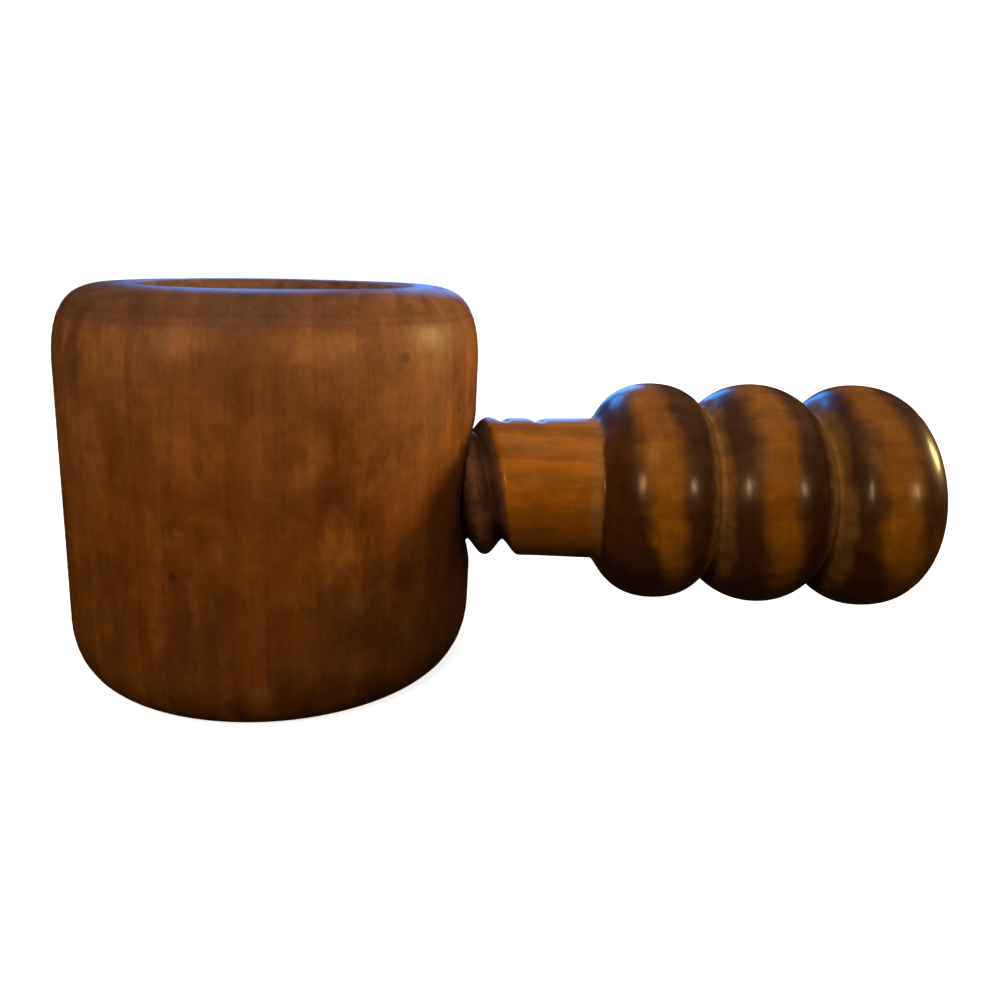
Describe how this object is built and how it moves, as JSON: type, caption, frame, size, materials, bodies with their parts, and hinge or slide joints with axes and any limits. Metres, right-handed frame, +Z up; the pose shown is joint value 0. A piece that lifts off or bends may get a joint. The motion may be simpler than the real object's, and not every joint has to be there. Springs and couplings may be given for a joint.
{
  "type": "screw nutcracker",
  "caption": "Turned wooden screw nutcracker: a round cup with a threaded hole in its wall, and a coarse wooden screw with a beaded grip that crushes a nut in the cup.",
  "frame": {"origin": "centre of the flat base of the cup, on the surface it stands on", "axes": "+X along the screw from the cup towards the grip, +Z up along the cup's axis, Y across"},
  "size_m": [0.1586, 0.076, 0.0678],
  "materials": {
    "cup_wood": "brown stained hardwood under worn satin varnish",
    "screw_wood": "brown stained hardwood under glossy varnish, worn to golden wood on the neck and bead crests"
  },
  "bodies": {
    "cup": {"cup": "cup_wood"},
    "nose": {"screw_nose": "screw_wood"},
    "screw": {"screw": "screw_wood"}
  },
  "joints": [
    {"name": "screw_advance", "type": "slide", "parent": "cup", "child": "nose", "axis": [1, 0, 0], "range_m": [-0.00326, 0.03902]},
    {"name": "screw_turn", "type": "hinge", "parent": "nose", "child": "screw", "pos_m": [0, 0, 0.0305], "axis": [1, 0, 0], "range_deg": [-90, 1080]}
  ],
  "couplings": [
    {"joint": "screw_advance", "follows": "screw_turn", "m_per_rad": 0.002069}
  ]
}
